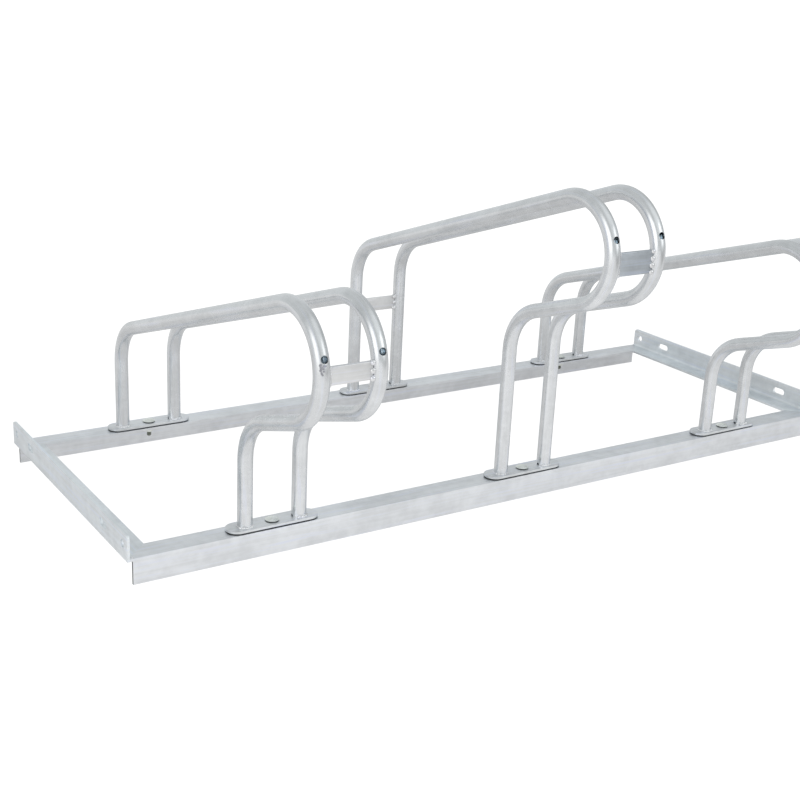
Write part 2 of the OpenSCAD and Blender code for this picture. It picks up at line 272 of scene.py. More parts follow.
def zinc(name, tone, gloss, rolled, fine, bent=False, cloudy=1.0):
    """Satin zinc.

    tone is its lightest colour and gloss its mean roughness. rolled says how
    many lines there are to the metre along x, y and z. fine makes the bumps
    stronger and cloudy the clouds. bent lays the lines along a bent tube.
    """
    coat = Recipe(name)
    spot = coat.node("ShaderNodeTexCoord", {}, {}, "Object")
    laid = spot
    if bent:
        laid = coat.node("ShaderNodeAttribute", {"attribute_name": "straightened"}, {}, "Vector")
    cloud = coat.node("ShaderNodeTexNoise", {}, {"Vector": spot, "Scale": CLOUDS, "Detail": 4.0}, "Fac")
    mottle = coat.node("ShaderNodeTexNoise", {}, {"Vector": spot, "Scale": MOTTLES, "Detail": 3.0}, "Fac")
    along = coat.node("ShaderNodeMapping", {}, {"Vector": laid, "Scale": rolled})
    lines = coat.node("ShaderNodeTexNoise", {}, {"Vector": along, "Scale": 1.0, "Detail": 5.0}, "Fac")
    cells = coat.node("ShaderNodeTexVoronoi", {}, {"Vector": spot, "Scale": FLAKES}, "Color")
    flake = coat.node("ShaderNodeSeparateColor", {}, {"Color": cells}, "Red")
    grain = coat.node("ShaderNodeTexNoise", {}, {"Vector": spot, "Scale": GRAINS, "Detail": 2.0}, "Fac")
    by_cloud, by_mottle, by_line = WEAR_AND_REFLECTION_SHARES
    wear_and_reflection = coat.ramp(cloud * by_cloud + mottle * by_mottle + lines * by_line, *WEAR_AND_REFLECTION_RANGE)
    dull = tuple((1 - DULLING * cloudy) * c for c in tone) + (1,)
    colour = coat.mix(wear_and_reflection, dull, tone + (1,))
    # Violet streaks along some lines: painted reflection.
    reflected_violet = tuple(c * k for c, k in zip(tone, REFLECTED_VIOLET)) + (1,)
    colour = coat.mix(coat.ramp(lines, *REFLECTED_VIOLET_RANGE) * REFLECTED_VIOLET_SHARE * cloudy, colour, reflected_violet)
    light = tuple(min(1, SPARKLE * c) for c in tone) + (1,)
    colour = coat.mix(flake * SPARKLE_SHARE, colour, light)
    by_cloud, by_line, by_mottle = GLOSS_SWINGS
    rough = gloss + (0.5 - cloud) * by_cloud + (lines - 0.5) * by_line + (mottle - 0.5) * by_mottle
    by_line, by_grain, by_flake, by_mottle = BUMP_SHARES
    height = lines * by_line + grain * by_grain + flake * by_flake + mottle * by_mottle
    bumps = coat.node("ShaderNodeBump", {}, {"Strength": BUMP_STRENGTH * fine,
                                             "Distance": BUMP_HEIGHT * MM, "Height": height})
    print("finish", name)
    return coat.finish(Base_Color=colour, Metallic=1.0, Roughness=rough, Normal=bumps)


along_x = (9, 300, 300)
along_y = (300, 9, 300)
drawn = (14, 260, 260)
even = (60, 60, 60)
lumpy = (160, 160, 160)
zinc_rail = zinc("zinc_rail", (0.88, 0.90, 0.925), 0.40, along_x, 0.5)
# The end angles get a lighter copy of the rails' zinc: painted light on the end upstands.
zinc_end_painted_light = zinc("zinc_end_painted_light", (0.90, 0.94, 0.965), 0.40, along_y, 0.5)
zinc_tube = zinc("zinc_tube", (0.82, 0.835, 0.85), 0.26, drawn, 0.3, bent=True)
# Paler, bluer zinc for the bore and the holes' walls: painted light inside the holes.
zinc_bore_painted_light = zinc("zinc_bore_painted_light", (0.84, 0.92, 0.97), 0.22, even, 1.0)
hole_wall_painted_light = zinc("hole_wall_painted_light", (0.90, 0.96, 1.0), 0.30, even, 1.0)
zinc_plate = zinc("zinc_plate", (0.84, 0.86, 0.88), 0.42, along_x, 1.2, cloudy=1.4)
zinc_bar = zinc("zinc_bar", (0.88, 0.88, 0.88), 0.40, along_x, 0.8)
# The high front bar is the same zinc as the low bars, made darker and bluer: painted shade.
zinc_high_bar_painted_shade = zinc("zinc_high_bar_painted_shade", (0.60, 0.64, 0.68), 0.44, along_x, 1.4, cloudy=1.5)
zinc_bolt = zinc("zinc_bolt", (0.93, 0.96, 0.92), 0.28, even, 1.2)
zinc_weld = zinc("zinc_weld", (0.88, 0.88, 0.89), 0.22, lumpy, 1.5)
zinc_run = zinc("zinc_run", (0.52, 0.52, 0.56), 0.38, lumpy, 2.0, cloudy=2.0)
# A dark olive finish for the bolts' ends below the nuts.
dark_olive_bolt_ends = zinc("dark_olive_bolt_ends", (0.34, 0.35, 0.31), 0.40, even, 1.5)
# Near-black: painted shade in the gaps under the plates and the bolt heads, and at the rails' sawn ends.
painted_shade_finish = zinc("painted_shade_finish", (0.16, 0.17, 0.17), 0.55, (500, 500, 20), 2.0, cloudy=2.0)

# %% [markdown]
# ## Handling pieces
# Operators act on whatever is selected, as they do under the hand, so each
# piece is made the only selected one before it is shaped. Faces, edges and
# points are picked in code by where they lie. A finished piece keeps its place
# in its mesh and its object at the origin.

# %% Helpers for pieces
MERGE, MERGE_PACKED = 0.001, 0.002  # points nearer than this, in millimetres, become one


def lone(piece):
    """Makes a piece the only selected and the active one."""
    bpy.ops.object.select_all(action="DESELECT")
    piece.select_set(True)
    bpy.context.view_layer.objects.active = piece
    return piece


def settle(piece, name):
    """Puts a piece's place into its mesh and names it."""
    lone(piece)
    bpy.ops.object.transform_apply(location=True, rotation=True, scale=True)
    piece.name = piece.data.name = name
    return piece


def pick(piece, kind, test):
    """Selects the faces, edges or points that pass a test. The piece is open in edit mode."""
    bpy.ops.mesh.select_mode(type=kind)
    bpy.ops.mesh.select_all(action="DESELECT")
    mesh = bmesh.from_edit_mesh(piece.data)
    parts = {"FACE": mesh.faces, "EDGE": mesh.edges, "VERT": mesh.verts}[kind]
    for part in parts:
        if test(part):
            part.select_set(True)
    mesh.select_flush_mode()
    bmesh.update_edit_mesh(piece.data)


def apply(piece, kind, name, **settings):
    """Adds a modifier, sets it and applies it."""
    lone(piece)
    change = piece.modifiers.new(name, kind)
    for key, value in settings.items():
        setattr(change, key, value)
    bpy.ops.object.modifier_apply(modifier=change.name)


def cut(piece, tool, how="DIFFERENCE"):
    """Cuts a piece with another, which is used up."""
    apply(piece, "BOOLEAN", "cut", object=tool, operation=how, solver="EXACT")
    bpy.data.objects.remove(tool)


def twin(piece, name, move=(0, 0, 0)):
    """Copies a piece, with its own mesh, to another place."""
    copy = bpy.data.objects.new(name, piece.data.copy())
    copy.data.name = name
    copy.data.transform(Matrix.Translation(move))
    bpy.context.scene.collection.objects.link(copy)
    return copy


def smooth(piece, degrees):
    """Shades a piece softly, apart from its edges sharper than an angle."""
    lone(piece)
    bpy.ops.object.shade_smooth_by_angle(angle=math.radians(degrees))


def weld_up(piece):
    """Merges doubled points and turns every face outwards."""
    lone(piece)
    bpy.ops.object.mode_set(mode="EDIT")
    bpy.ops.mesh.select_all(action="SELECT")
    bpy.ops.mesh.remove_doubles(threshold=MERGE * MM)
    bpy.ops.mesh.normals_make_consistent(inside=False)
    bpy.ops.object.mode_set(mode="OBJECT")


def hand_over(piece, material, slot, *stands_for):
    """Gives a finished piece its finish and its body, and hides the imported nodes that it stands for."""
    piece.data.materials.clear()
    piece.data.materials.append(material)
    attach(piece, "root")
    if stands_for:
        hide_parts(*stands_for)
    print("made", piece.name, "with", len(piece.data.polygons), "faces")


def refinish(piece, finish, chosen):
    """Gives the chosen faces of a piece another finish."""
    piece.data.materials.append(finish)
    picked = [face for face in piece.data.polygons if chosen(face)]
    for face in picked:
        face.material_index = len(piece.data.materials) - 1
    print(piece.name, "has", len(picked), "faces of", finish.name)


# %% [markdown]
# ## The frame of steel angle
# Rolled angle never has sharp edges: its toes and its outer corner are rounded
# by the rollers, and sawn ends have a small burr taken off. Those roundings
# catch the light as thin bright lines. The outline could be drawn and pulled
# out again, but the imported pieces already have every hole and mitre in place.
# So a copy of each is merged, its flat triangles are joined, and its edges are
# rounded. The rails' sawn ends, in the narrow gap inside the end angles, get a
# near-black finish: painted shade.

# %% Rails and end angles
ROUNDING, ROUNDED_FROM = 0.5, 40  # millimetres, and the angle from which an edge is rounded
SAWN_ENDS = (515, 520)  # the rails' sawn ends lie between these places, left and right


def rounded_angle(node, material):
    """A copy of a packed angle with rounded edges, and its sawn ends darkened as painted shade."""
    piece = bpy.data.objects.new(node + "_rolled", nodes[node].data.copy())
    piece.data.name = piece.name
    bpy.context.scene.collection.objects.link(piece)
    lone(piece)
    bpy.ops.mesh.customdata_custom_splitnormals_clear()
    bpy.ops.object.mode_set(mode="EDIT")
    bpy.ops.mesh.select_all(action="SELECT")
    bpy.ops.mesh.remove_doubles(threshold=MERGE_PACKED * MM)
    bpy.ops.mesh.dissolve_limited(angle_limit=math.radians(0.5))
    bpy.ops.object.mode_set(mode="OBJECT")
    apply(piece, "BEVEL", "round", width=ROUNDING * MM, segments=3, limit_method="ANGLE",
          angle_limit=math.radians(ROUNDED_FROM), harden_normals=False)
    smooth(piece, 30)
    hand_over(piece, material, "galvanised_angle", node)
    inner, outer = SAWN_ENDS
    # The rails' sawn ends are made near-black: painted shade in the gap inside the end angles.
    refinish(piece, painted_shade_finish,
             lambda face: abs(face.normal.x) > 0.95 and inner < abs(face.center.x) / MM < outer)


for node in ("front_rail", "rear_rail"):
    rounded_angle(node, zinc_rail)
for node in ("left_end_angle", "right_end_angle"):
    rounded_angle(node, zinc_end_painted_light)

# %% [markdown]
# ## Sizes of the hoops
# These are the model's own sizes, in millimetres: where the legs stand, how far
# the loops reach and how high they are. Each tube lies in an upright plane that
# toes out a little to the rear, because the rear legs stand further apart than
# the front legs.

# %% Sizes of the hoops
TUBE_D, WALL, BEND = 17.2, 2.0, 60.0  # BEND is the radius of the tube's middle in each bend
SEAT = 34.0  # the plates' top, where the tubes and bolt heads stand
PITCH, HALF_FRAME, FRAME_DEPTH = 350.0, 525.0, 385.0
FRONT_FACE, FRONT_LEG, REAR_LEG = -114.425, -99.425, 255.575  # places from front to back
LEG_INSET = 15  # from the front face to the middle of the front legs
HALF_FRONT, HALF_REAR = 33.5, 36.0  # half the distance between the two front or rear legs
toe = math.atan((HALF_REAR - HALF_FRONT) / (REAR_LEG - FRONT_LEG))
leg_run = (REAR_LEG - FRONT_LEG) / math.cos(toe)
# Slope of the runs in degrees, how far the loop's middle lies before the front
# face and how high, and how far the vent is turned up from straight out
LOW = {"slope": 18.2, "reach": 84.0, "height": 249.5, "vent": 0.0}
HIGH = {"slope": 18.8, "reach": 87.5, "height": 334.5, "vent": 2.0}
HOOPS = {"left_hoop": (-PITCH, LOW), "middle_hoop": (0.0, HIGH), "right_hoop": (PITCH, LOW)}
print("toe", round(math.degrees(toe), 3), "degrees, leg run", round(leg_run, 2), "mm")


def half_spread(y):
    """Half the distance between a pair's tubes at a place front to back."""
    return HALF_FRONT + (HALF_REAR - HALF_FRONT) * (y - FRONT_LEG) / (REAR_LEG - FRONT_LEG)


# %% [markdown]
# ## Bent tubes
# A bending machine makes each tube from one straight length: a foot, a bend, a
# sloping run, a half turn for the loop, a run back and a last bend down to the
# second foot. A curve with a round section would do, but it is clearer to go
# the way of the machine. One ring is drawn out along each straight and spun
# about the middle of each bend. Then the open shell gets its wall, the vent
# that lets hot zinc out at the loop, and the drain notch at each foot.

# %% Route of a tube
def plane_point(x, side, along, up):
    """A point of a tube's own plane, in metres: along runs back from the front leg."""
    out = side * (HALF_FRONT + along * math.sin(toe))
    return Vector((x + out, FRONT_LEG + along * math.cos(toe), up)) * MM


def route(hoop):
    """Middles of the three bends, and the directions of the sloping runs."""
    slope = math.radians(hoop["slope"])
    up = (math.sin(slope), math.cos(slope))
    back = (math.cos(slope), -math.sin(slope))
    loop = (-(LEG_INSET + hoop["reach"]) / math.cos(toe), hoop["height"])
    far = (leg_run - BEND - loop[0]) / math.cos(slope)
    rear = (loop[0] + back[0] * far, loop[1] + back[1] * far)
    low = (loop[0] - 2 * BEND * up[0], loop[1] - 2 * BEND * up[1])
    near = (BEND + low[0]) / math.cos(slope)
    front = (low[0] - back[0] * near, low[1] - back[1] * near)
    return loop, rear, front, up, back


# %% Bend one tube
TUBE_SIDES, BEND_STEPS, LOOP_STEPS = 48, 14, 36


def bent_tube(name, x, side, hoop):
    """An open shell along the whole route, from the rear foot to the front foot."""
    loop, rear, front, up, back = route(hoop)
    turn = math.radians(90 - hoop["slope"])
    out = plane_point(x, side, 1, 0) - plane_point(x, side, 0, 0)
    axis = out.normalized().cross(Vector((0, 0, 1)))

    def at(point):
        """A point of the tube's plane in space."""
        return plane_point(x, side, *point)

    def straight(start, end):
        """Draws the open ring out along a straight."""
        bpy.ops.mesh.extrude_region_move(TRANSFORM_OT_translate={"value": at(end) - at(start)})

    def bend(middle, angle, steps):
        """Spins the open ring about the middle of a bend."""
        bpy.ops.mesh.spin(steps=steps, angle=-angle, center=at(middle), axis=axis)

    foot = (leg_run, SEAT)
    bpy.ops.mesh.primitive_circle_add(vertices=TUBE_SIDES, radius=TUBE_D / 2 * MM, location=at(foot))
    piece = settle(bpy.context.object, name)
    bpy.ops.object.mode_set(mode="EDIT")
    bpy.ops.mesh.select_all(action="SELECT")
    straight(foot, (leg_run, rear[1]))
    bend(rear, turn, BEND_STEPS)
    top = (rear[0] + BEND * up[0], rear[1] + BEND * up[1])
    straight(top, (loop[0] + BEND * up[0], loop[1] + BEND * up[1]))
    bend(loop, math.pi, LOOP_STEPS)
    under = (loop[0] - BEND * up[0], loop[1] - BEND * up[1])
    straight(under, (front[0] + BEND * up[0], front[1] + BEND * up[1]))
    bend(front, -turn, BEND_STEPS)
    straight((0, front[1]), (0, SEAT))
    bpy.ops.object.mode_set(mode="OBJECT")
    weld_up(piece)
    return piece


# %% Wall, vent and drain notches
VENT_D, DRAIN_D = 8.0, 4.0


def drill(diameter, start, end, sides=32):
    """A round cutter between two points."""
    line = end - start
    bpy.ops.mesh.primitive_cylinder_add(vertices=sides, radius=diameter / 2 * MM, depth=line.length)
    tool = bpy.context.object
    tool.rotation_mode = "QUATERNION"
    tool.rotation_quaternion = line.to_track_quat("Z", "Y")
    tool.location = (start + end) / 2
    return settle(tool, "drill")


def vent_spot(hoop, reach, turn=0.0):
    """A point straight out from the middle of the loop through the vent, or turned up from it."""
    loop = route(hoop)[0]
    angle = math.radians(hoop["slope"] + hoop["vent"] + turn)
    return loop[0] - reach * math.cos(angle), loop[1] + reach * math.sin(angle)


def hoop_tube(name, x, side, hoop):
    """A finished tube with its wall, its vent and its drain notches."""
    piece = bent_tube(name + "_bent", x, side, hoop)
    apply(piece, "SOLIDIFY", "wall", thickness=WALL * MM, offset=-1, use_even_offset=True)
    core, tip = vent_spot(hoop, BEND), vent_spot(hoop, BEND + TUBE_D)
    cut(piece, drill(VENT_D, plane_point(x, side, *core), plane_point(x, side, *tip)))
    for along in (0, leg_run):
        foot = plane_point(x, side, along, SEAT)
        cut(piece, drill(DRAIN_D, foot, foot - Vector((side * TUBE_D * MM, 0, 0))))
    smooth(piece, 30)
    hand_over(piece, zinc_tube, "galvanised_tube", name)
    straighten(piece, x, side, hoop)


# %% [markdown]
# ## The tube as it was before bending
# Drawn lines run along a tube and follow its bends. To let the finish do the
# same, every point of the mesh gets a second place: how far along the tube it
# lies, and how far from the tube's middle on both ways across. The route is a
# chain of straights and bends, and the nearest one gives these numbers. They
# also tell the outer skin from the bore and the holes' walls, which are painted
# paler and bluer than the skin: painted light inside the holes.

# %% Straighten
SKIN, BORE_BAND = 0.4, 0.3  # how deep the outer skin reaches, and how near the bore counts as bore
NEARLY_ROUND = 0.9  # of a turn


def stations(hoop):
    """The route as straights (kind, start, direction, length) and bends (kind, middle, angles, way)."""
    loop, rear, front, up, back = route(hoop)
    turn = math.radians(90 - hoop["slope"])
    ahead_way = (-back[0], -back[1])
    top = (rear[0] + BEND * up[0], rear[1] + BEND * up[1])
    under = (loop[0] - BEND * up[0], loop[1] - BEND * up[1])
    upper_run = math.hypot(loop[0] - rear[0], loop[1] - rear[1])
    lower_run = math.hypot(front[0] + BEND * up[0] - under[0], front[1] + BEND * up[1] - under[1])
    return [("run", (leg_run, SEAT), (0, 1), rear[1] - SEAT), ("bend", rear, (0, turn), 1),
            ("run", top, ahead_way, upper_run), ("bend", loop, (turn, turn + math.pi), 1),
            ("run", under, back, lower_run), ("bend", front, (turn, 0), -1),
            ("run", (0, front[1]), (0, -1), front[1] - SEAT)]


def straight_place(chain, along, up):
    """Length along the tube and distance to the right of its middle, for a point of its plane."""
    best, walked = None, 0.0
    for kind, place, way_or_angles, last in chain:
        dx, dy = along - place[0], up - place[1]
        if kind == "run":
            (wx, wy), length = way_or_angles, last
            step = min(max(dx * wx + dy * wy, 0.0), length)
            right = dx * wy - dy * wx
            miss = math.hypot(dx - step * wx, dy - step * wy)
        else:
            start, end = way_or_angles
            length = BEND * abs(end - start)
            angle = math.atan2(dy, dx) % (2 * math.pi)
            if angle > NEARLY_ROUND * 2 * math.pi:  # just short of the start, not past the end
                angle -= 2 * math.pi
            held = min(max(angle, min(start, end)), max(start, end))
            step = BEND * abs(held - start)
            right = last * (math.hypot(dx, dy) - BEND)
            miss = math.hypot(dx - BEND * math.cos(held), dy - BEND * math.sin(held))
        if best is None or miss < best[0]:
            best = (miss, walked + step, right)
        walked += length
    return best[1], best[2]


def straighten(piece, x, side, hoop):
    """Stores each point's place before bending, and gives the inner faces their painted-light finishes.
    """
    chain = stations(hoop)
    origin = plane_point(x, side, 0, 0)
    back_way = (plane_point(x, side, 1, 0) - origin).normalized()
    side_way = back_way.cross(Vector((0, 0, 1)))
    laid, thick = [], []
    for point in piece.data.vertices:
        offset = point.co - origin
        length, right = straight_place(chain, offset.dot(back_way) / MM, point.co.z / MM)
        across = offset.dot(side_way) / MM
        laid += [length * MM, right * MM, across * MM]
        thick.append(math.hypot(right, across))
    store = piece.data.attributes.new("straightened", "FLOAT_VECTOR", "POINT")
    store.data.foreach_set("vector", laid)
    piece.data.materials.append(zinc_bore_painted_light)
    piece.data.materials.append(hole_wall_painted_light)
    inner = 0
    for face in piece.data.polygons:
        depth = TUBE_D / 2 - sum(thick[v] for v in face.vertices) / len(face.vertices)
        if depth > SKIN:
            face.material_index = 1 if depth > WALL - BORE_BAND else 2
            inner += 1
    print("straightened", piece.name, "with", inner, "inner faces")


# %% Bend all six tubes
for hoop_name, (x, hoop) in HOOPS.items():
    for side, word in ((-1, "left"), (1, "right")):
        hoop_tube(f"{hoop_name}_{word}_tube", x, side, hoop)

# %% [markdown]
# ## A lathe
# Bolts and washers are round about one axis, and a base plate is a round disc
# pulled apart. So each starts as an outline of a few points, spun once round,
# as on a lathe. Stacked cylinders could do it too, but an outline keeps every
# rounding and undercut in one list that is easy to read.

# %% A lathe
def lathe(name, outline, steps=48):
    """Turns an outline of (radius, height) points, in millimetres, about the upright axis."""
    bpy.ops.mesh.primitive_plane_add(size=MM)
    piece = settle(bpy.context.object, name)
    bpy.ops.object.mode_set(mode="EDIT")
    bpy.ops.mesh.select_all(action="SELECT")
    bpy.ops.mesh.merge(type="CENTER")
    mesh = bmesh.from_edit_mesh(piece.data)
    mesh.verts.ensure_lookup_table()
    here = Vector(outline[0])
    mesh.verts[0].co = (here.x * MM, 0, here.y * MM)
    mesh.verts[0].select_set(True)
    bmesh.update_edit_mesh(piece.data)
    for point in outline[1:]:
        step = Vector(point) - here
        bpy.ops.mesh.extrude_vertices_move(
            TRANSFORM_OT_translate={"value": (step.x * MM, 0, step.y * MM)})
        here = Vector(point)
    bpy.ops.mesh.select_all(action="SELECT")
    bpy.ops.mesh.spin(steps=steps, angle=2 * math.pi, center=(0, 0, 0), axis=(0, 0, 1))
    bpy.ops.object.mode_set(mode="OBJECT")
    weld_up(piece)
    return piece


# %% [markdown]
# ## Base plates
# A plate is punched from flat bar: the punch leaves its upper edge a little
# rounded and draws its lower edge in, so the plate stands on a smaller sole and
# a thin gap shows all round it. The faces of that gap get a near-black finish,
# painted shade. A disc with that edge is turned, and its two halves are pulled
# apart into the long outline. One plate is made and copied, since all six are the same.

# %% Base plates
PLATE_L, PLATE_W, PLATE_T, RAIL_TOP = 112.0, 27.0, 4.0, 30.0
BOLT_D, HOLE_D = 6.0, 7.0
SOLE_IN, STEP_IN, LIP_IN, PUNCHED_R = 3.2, 3.0, 0.4, 0.35  # inwards from the plate's edge
STEP_UP, LIP_UP, GAP_UP, SIDE_UP = 0.9, 1.05, 1.15, 1.4  # upwards from the rail


def punched_plate():
    """One plate round the upright axis, on the rail."""
    half_flat = (PLATE_L - PLATE_W) / 2 * MM
    edge, top = PLATE_W / 2, RAIL_TOP + PLATE_T
    outline = [(0, RAIL_TOP), (edge - SOLE_IN, RAIL_TOP), (edge - STEP_IN, RAIL_TOP + STEP_UP),
               (edge - LIP_IN, RAIL_TOP + LIP_UP), (edge, RAIL_TOP + SIDE_UP), (edge, top - PUNCHED_R),
               (edge - PUNCHED_R, top), (0, top)]
    piece = lathe("base_plate", outline, 96)
    bpy.ops.object.mode_set(mode="EDIT")
    for side in (-1, 1):
        pick(piece, "VERT", lambda point: point.co.x * side > 0.01 * MM)
        bpy.ops.transform.translate(value=(side * half_flat, 0, 0))
    bpy.ops.object.mode_set(mode="OBJECT")
    middle = Vector((0, 0, RAIL_TOP * MM))
    cut(piece, drill(HOLE_D, middle - Vector((0, 0, MM)), middle + Vector((0, 0, 2 * PLATE_T * MM))))
    smooth(piece, 35)
    return piece


plate = punched_plate()
for hoop_name, (x, hoop) in HOOPS.items():
    for word, y in (("front", FRONT_LEG), ("rear", REAR_LEG)):
        node = f"{hoop_name}_{word}_plate"
        copy = twin(plate, node + "_punched", (x * MM, y * MM, 0))
        hand_over(copy, zinc_plate, "galvanised_flat", node)
        # The faces of the gap under the plate are made near-black: painted shade.
        refinish(copy, painted_shade_finish, lambda face: face.center.z / MM < RAIL_TOP + GAP_UP)
bpy.data.objects.remove(plate)

# %% [markdown]
# ## Flat bars between the tubes
# Short lengths of flat bar close the loops at the front, and one more bar
# between the high hoop's rear legs carries the wheel. Drawn flat bar has
# slightly rounded edges. A cube of the right size gets those by a bevel on its
# long edges, and its sawn ends stay sharper.

# %% Flat bars
BAR_T, WELD_GAP = 4.5, 0.15
DRAWN_R, SAWN_R = 0.8, 0.2  # roundings of the long edges and of the ends
HIGH_BAR, LOW_BAR = (26.0, -4.0), (19.0, 2.5)  # width, and rise above the loop's middle
LEG_BAR_Z, LEG_BAR_W = 158.5, 19.0


def flat_bar(node, x, y, z, width, finish):
    """A flat bar from tube to tube."""
    length = 2 * half_spread(y) - TUBE_D - 2 * WELD_GAP
    bpy.ops.mesh.primitive_cube_add(size=1, location=(x * MM, y * MM, z * MM),
                                    scale=(length * MM, BAR_T * MM, width * MM))
    piece = settle(bpy.context.object, node + "_drawn")
    bpy.ops.object.mode_set(mode="EDIT")

    def run(edge):
        """How far an edge reaches from left to right."""
        return abs(edge.verts[0].co.x - edge.verts[1].co.x) / MM

    pick(piece, "EDGE", lambda edge: run(edge) > 0.5 * length)
    bpy.ops.mesh.bevel(offset=DRAWN_R * MM, segments=4, affect="EDGES")
    pick(piece, "EDGE", lambda edge: run(edge) < 0.1)
    bpy.ops.mesh.bevel(offset=SAWN_R * MM, segments=2, affect="EDGES")
    bpy.ops.object.mode_set(mode="OBJECT")
    weld_up(piece)
    smooth(piece, 35)
    hand_over(piece, finish, "galvanised_flat", node)


BARS = {}
for hoop_name, (x, hoop) in HOOPS.items():
    width, rise = HIGH_BAR if hoop is HIGH else LOW_BAR
    BARS[f"{hoop_name}_spreader"] = (x, FRONT_FACE - hoop["reach"] - BEND, hoop["height"] + rise, width)
BARS["middle_hoop_leg_spreader"] = (0.0, REAR_LEG, LEG_BAR_Z, LEG_BAR_W)
for node, place in BARS.items():
    # The high loop's front bar takes the darker zinc of painted shade.
    flat_bar(node, *place, zinc_high_bar_painted_shade if node == "middle_hoop_spreader" else zinc_bar)

# %% [markdown]
# ## Domed bolts
# The hoops are held by bolts with a plain, low dome and no slot or socket. The
# dome overhangs its foot a little, and the faces under its rim get a near-black
# finish, painted shade that draws a dark line under its front. The thread is too
# fine to draw by hand: the shank has many rings, and each of its points is moved
# inwards by where it lies along the thread's climb.

# %% Domed bolts
HEAD_D, HEAD_H, HEAD_RIM, DOME_STEPS = 16.5, 3.9, 0.8, 9
FLANGE_Z, WASHER_T, NUT_H, NUT_W = 27.0, 1.6, 5.0, 10.0
NUT_Z = FLANGE_Z - WASHER_T - NUT_H
BOLT_END, CHAMFER = 6.4, 1.0  # how far the bolt's end stands out of the nut
TIP_Z = NUT_Z - BOLT_END
THREAD, THREAD_DEPTH, TURN_RINGS, IN_NUT = 1.0, 0.62, 8, 1.5  # IN_NUT: how far it goes into the nut
FOOT_IN, NECK_IN, RIM_IN = 2.4, 2.2, 0.3  # the undercut of the head, inwards from its rim
NECK_UP, RIM_UP, SHADE_UP = 0.75, 0.85, 0.9  # and upwards from the plate
THREAD_LOW, THREAD_HIGH = TIP_Z + 0.3, NUT_Z + IN_NUT - 0.1
EASE_LOW, EASE_HIGH = 0.5, 0.8  # over which the thread fades out at both ends


def domed_bolt():
    """One bolt with its thread, round the upright axis."""
    r, head = BOLT_D / 2, HEAD_D / 2
    rise = HEAD_H - HEAD_RIM
    dome = (head ** 2 + rise ** 2) / (2 * rise)
    outline = [(0, TIP_Z), (r - CHAMFER, TIP_Z), (r, TIP_Z + CHAMFER)]
    threaded = NUT_Z + IN_NUT - TIP_Z - CHAMFER
    count = round(threaded / THREAD * TURN_RINGS)
    outline += [(r, TIP_Z + CHAMFER + threaded * k / count) for k in range(1, count + 1)]
    outline += [(r, SEAT), (head - FOOT_IN, SEAT), (head - NECK_IN, SEAT + NECK_UP),
                (head - RIM_IN, SEAT + RIM_UP), (head, SEAT + HEAD_RIM + RIM_IN)]
    centre = SEAT + HEAD_H - dome
    edge = math.asin(head / dome)
    for k in range(1, DOME_STEPS):
        angle = edge * (1 - k / DOME_STEPS)
        outline.append((dome * math.sin(angle), centre + dome * math.cos(angle)))
    outline.append((0, SEAT + HEAD_H))
    bolt = lathe("domed_bolt", outline)
    for point in bolt.data.vertices:
        x, y, z = point.co / MM
        reach = math.hypot(x, y)
        if reach > r - CHAMFER - 0.1 and THREAD_LOW < z < THREAD_HIGH:
            climb = (z / THREAD - math.atan2(y, x) / (2 * math.pi)) % 1
            ease = min(1, (THREAD_HIGH - z) / EASE_HIGH, (z - THREAD_LOW) / EASE_LOW)
            depth = THREAD_DEPTH * THREAD * abs(2 * climb - 1) * ease
            point.co.x *= (reach - depth) / reach
            point.co.y *= (reach - depth) / reach
    smooth(bolt, 40)
    return bolt


bolt = domed_bolt()
print("bolt from", TIP_Z, "to", SEAT + HEAD_H, "mm,", len(bolt.data.polygons), "faces")

# %% [markdown]
# ## Washers
# A plain washer spreads the nut's pull under the rail's flange. It could be a
# cylinder with a hole in it, but on the lathe its soft outer edges are made in
# the same go. All six are alike, so one is made and copied further down.

# %% Washers
WASHER_BORE, WASHER_D, WASHER_R = 6.4, 12.0, 0.2


def washer():
    """One washer round the upright axis, under the rail's flange."""
    inner, outer, soft = WASHER_BORE / 2, WASHER_D / 2, WASHER_R
    low, high = FLANGE_Z - WASHER_T, FLANGE_Z
    outline = [(inner, low), (outer - soft, low), (outer, low + soft), (outer, high - soft),
               (outer - soft, high), (inner, high), (inner, low)]
    ring = lathe("washer", outline)
    smooth(ring, 30)
    return ring


ring = washer()

# %% [markdown]
# ## Hexagon nuts
# A nut starts as a bar with six sides. Its corners are turned off in a cone at
# both faces, which leaves the curved edges that one knows from every nut. Here
# the bar is crossed with a turned blank, and what both hold is the nut. Then it
# is bored for the bolt.

# %% Hexagon nuts
FACE_SHARE, CONE, NUT_PLAY = 0.96, 30, 0.1  # the turned face, its cone in degrees, the bore's play


def hexagon_nut():
    """One nut round the upright axis, under the washer."""
    corner = NUT_W / 2 / math.cos(math.pi / 6)
    bpy.ops.mesh.primitive_cylinder_add(vertices=6, radius=corner * MM, depth=NUT_H * MM,
                                        location=(0, 0, (NUT_Z + NUT_H / 2) * MM),
                                        rotation=(0, 0, math.pi / 6))
    nut = settle(bpy.context.object, "hexagon_nut")
    face, wide = NUT_W / 2 * FACE_SHARE, corner + 0.5
    rise = (wide - face) * math.tan(math.radians(CONE))
    low, high = NUT_Z, NUT_Z + NUT_H
    blank = lathe("blank", [(0, low), (face, low), (wide, low + rise), (wide, high - rise),
                            (face, high), (0, high)], 60)
    cut(nut, blank, "INTERSECT")
    cut(nut, drill(BOLT_D + NUT_PLAY, Vector((0, 0, low - 1)) * MM, Vector((0, 0, high + 1)) * MM, 48))
    smooth(nut, 25)
    return nut


nut = hexagon_nut()


